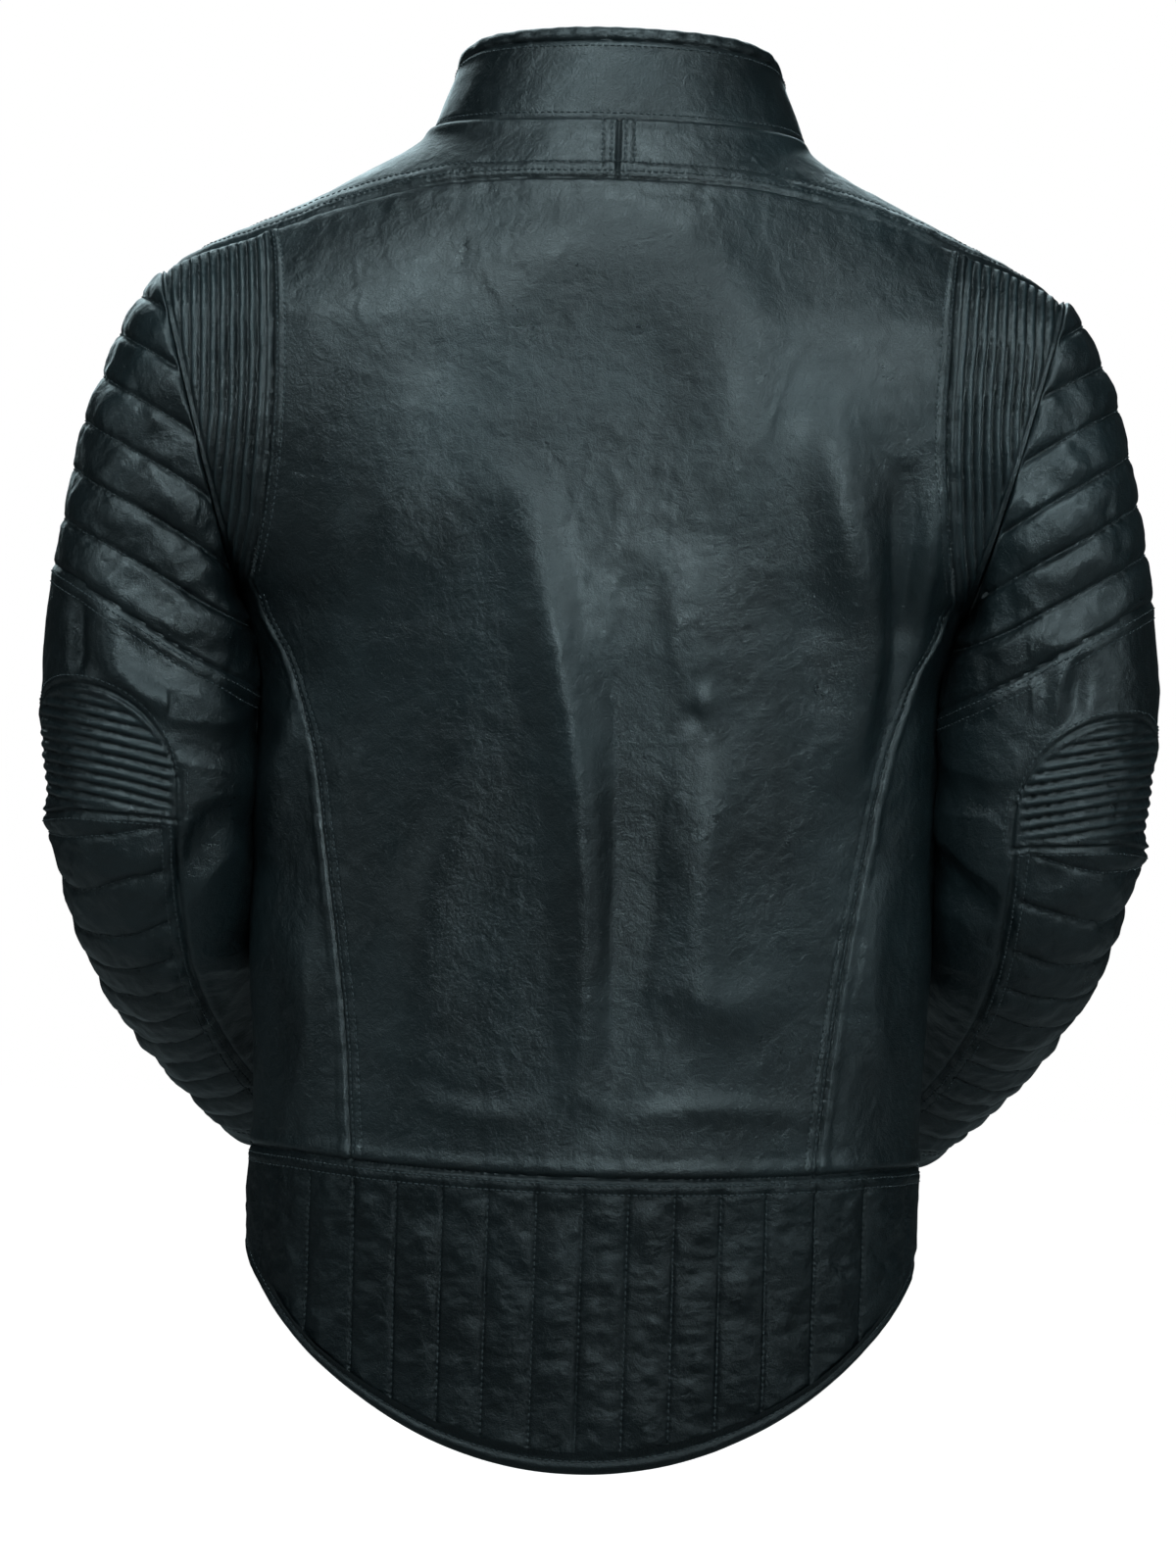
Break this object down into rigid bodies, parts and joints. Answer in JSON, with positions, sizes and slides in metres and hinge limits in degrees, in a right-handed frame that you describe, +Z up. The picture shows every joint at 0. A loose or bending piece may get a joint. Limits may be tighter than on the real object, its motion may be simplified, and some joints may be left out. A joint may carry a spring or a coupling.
{
  "type": "riding jacket",
  "caption": "Fitted leather riding jacket with stand collar, padded sleeve caps, pleated shoulder and elbow gussets, quilted drop tail, zipped front and zipped pockets.",
  "frame": {"origin": "on the neck's centre line, at the height of the back collar seam", "axes": "+Z up, the wearer faces -Y, and the wearer's left is +X"},
  "size_m": [0.5774, 0.332, 0.736],
  "materials": {
    "leather": "semi-gloss",
    "leather_trim": "semi-gloss",
    "lining": "satin",
    "collar_cloth": "matte",
    "armour_foam": "matte",
    "zip_tape": "matte",
    "zip_coil": "satin",
    "zip_metal": "dark plated",
    "snap_metal": "dark plated"
  },
  "bodies": {
    "jacket": {"back_panel": "leather", "yoke_left": "leather", "yoke_right": "leather", "shoulder_gusset_left": "leather", "shoulder_gusset_right": "leather", "side_panel_left": "leather", "side_panel_right": "leather", "tail_panel": "leather", "front_panel_left": "leather", "front_panel_right": "leather", "pocket_welt_left": "leather", "pocket_welt_right": "leather", "pocket_coil_left": "zip_coil", "pocket_coil_right": "zip_coil", "pocket_bags": "lining", "body_lining": "lining", "back_protector": "armour_foam", "hanger_loop": "leather_trim", "collar_outer": "leather", "collar_lining": "collar_cloth", "collar_binding": "leather", "collar_snap_stud": "snap_metal", "front_zip_tapes": "zip_tape", "front_zip_teeth": "zip_metal", "storm_flap": "leather_trim", "sleeve_cap_left": "leather", "sleeve_cap_right": "leather", "upper_sleeve_left": "leather", "upper_sleeve_right": "leather", "elbow_gusset_left": "leather", "elbow_gusset_right": "leather", "elbow_inner_left": "leather", "elbow_inner_right": "leather", "shoulder_armour_left": "armour_foam", "shoulder_armour_right": "armour_foam"},
    "forearm_left": {"forearm_quilt_left": "leather", "forearm_under_left": "leather", "cuff_band_left": "leather", "elbow_armour_left": "armour_foam"},
    "forearm_right": {"forearm_quilt_right": "leather", "forearm_under_right": "leather", "cuff_band_right": "leather", "elbow_armour_right": "armour_foam"},
    "zip_slider": {"front_zip_slider": "zip_metal"},
    "zip_pull": {"front_zip_pull": "zip_metal"},
    "tab": {"collar_tab": "leather_trim", "collar_snap_cap": "snap_metal"},
    "pocket_slider_left": {"pocket_slider_left": "zip_metal"},
    "pocket_slider_right": {"pocket_slider_right": "zip_metal"},
    "pocket_pull_left": {"pocket_pull_left": "zip_metal"},
    "pocket_pull_right": {"pocket_pull_right": "zip_metal"}
  },
  "joints": [
    {"name": "elbow_left", "type": "hinge", "parent": "jacket", "child": "forearm_left", "pos_m": [0.234, 0.003, -0.342], "axis": [-0.8421, 0.5277, -0.1113], "range_deg": [-30, 12], "stiffness_Nm_per_rad": 4, "deforming": ["elbow_gusset_left", "elbow_inner_left"]},
    {"name": "elbow_right", "type": "hinge", "parent": "jacket", "child": "forearm_right", "pos_m": [-0.234, 0.003, -0.342], "axis": [-0.8421, -0.5277, 0.1113], "range_deg": [-30, 12], "stiffness_Nm_per_rad": 4, "deforming": ["elbow_gusset_right", "elbow_inner_right"]},
    {"name": "front_zip", "type": "slide", "parent": "jacket", "child": "zip_slider", "axis": [0, -0.0684, -0.9977], "range_m": [0, 0.5]},
    {"name": "front_zip_pull_swing", "type": "hinge", "parent": "zip_slider", "child": "zip_pull", "pos_m": [0, -0.09775, -0.04964], "axis": [-1, 0, 0], "range_deg": [0, 150]},
    {"name": "collar_tab_open", "type": "hinge", "parent": "jacket", "child": "tab", "pos_m": [0.038, -0.0882, -0.01], "axis": [0, 0, 1], "range_deg": [0, 150]},
    {"name": "pocket_zip_left", "type": "slide", "parent": "jacket", "child": "pocket_slider_left", "axis": [0.0682, -0.0285, -0.9973], "range_m": [0, 0.094]},
    {"name": "pocket_pull_swing_left", "type": "hinge", "parent": "pocket_slider_left", "child": "pocket_pull_left", "pos_m": [0.10318, -0.10254, -0.41832], "axis": [-0.8963, -0.4407, -0.0487], "range_deg": [0, 150]},
    {"name": "pocket_zip_right", "type": "slide", "parent": "jacket", "child": "pocket_slider_right", "axis": [-0.0682, -0.0285, -0.9973], "range_m": [0, 0.094]},
    {"name": "pocket_pull_swing_right", "type": "hinge", "parent": "pocket_slider_right", "child": "pocket_pull_right", "pos_m": [-0.10318, -0.10254, -0.41832], "axis": [-0.8963, 0.4407, 0.0487], "range_deg": [0, 150]}
  ]
}
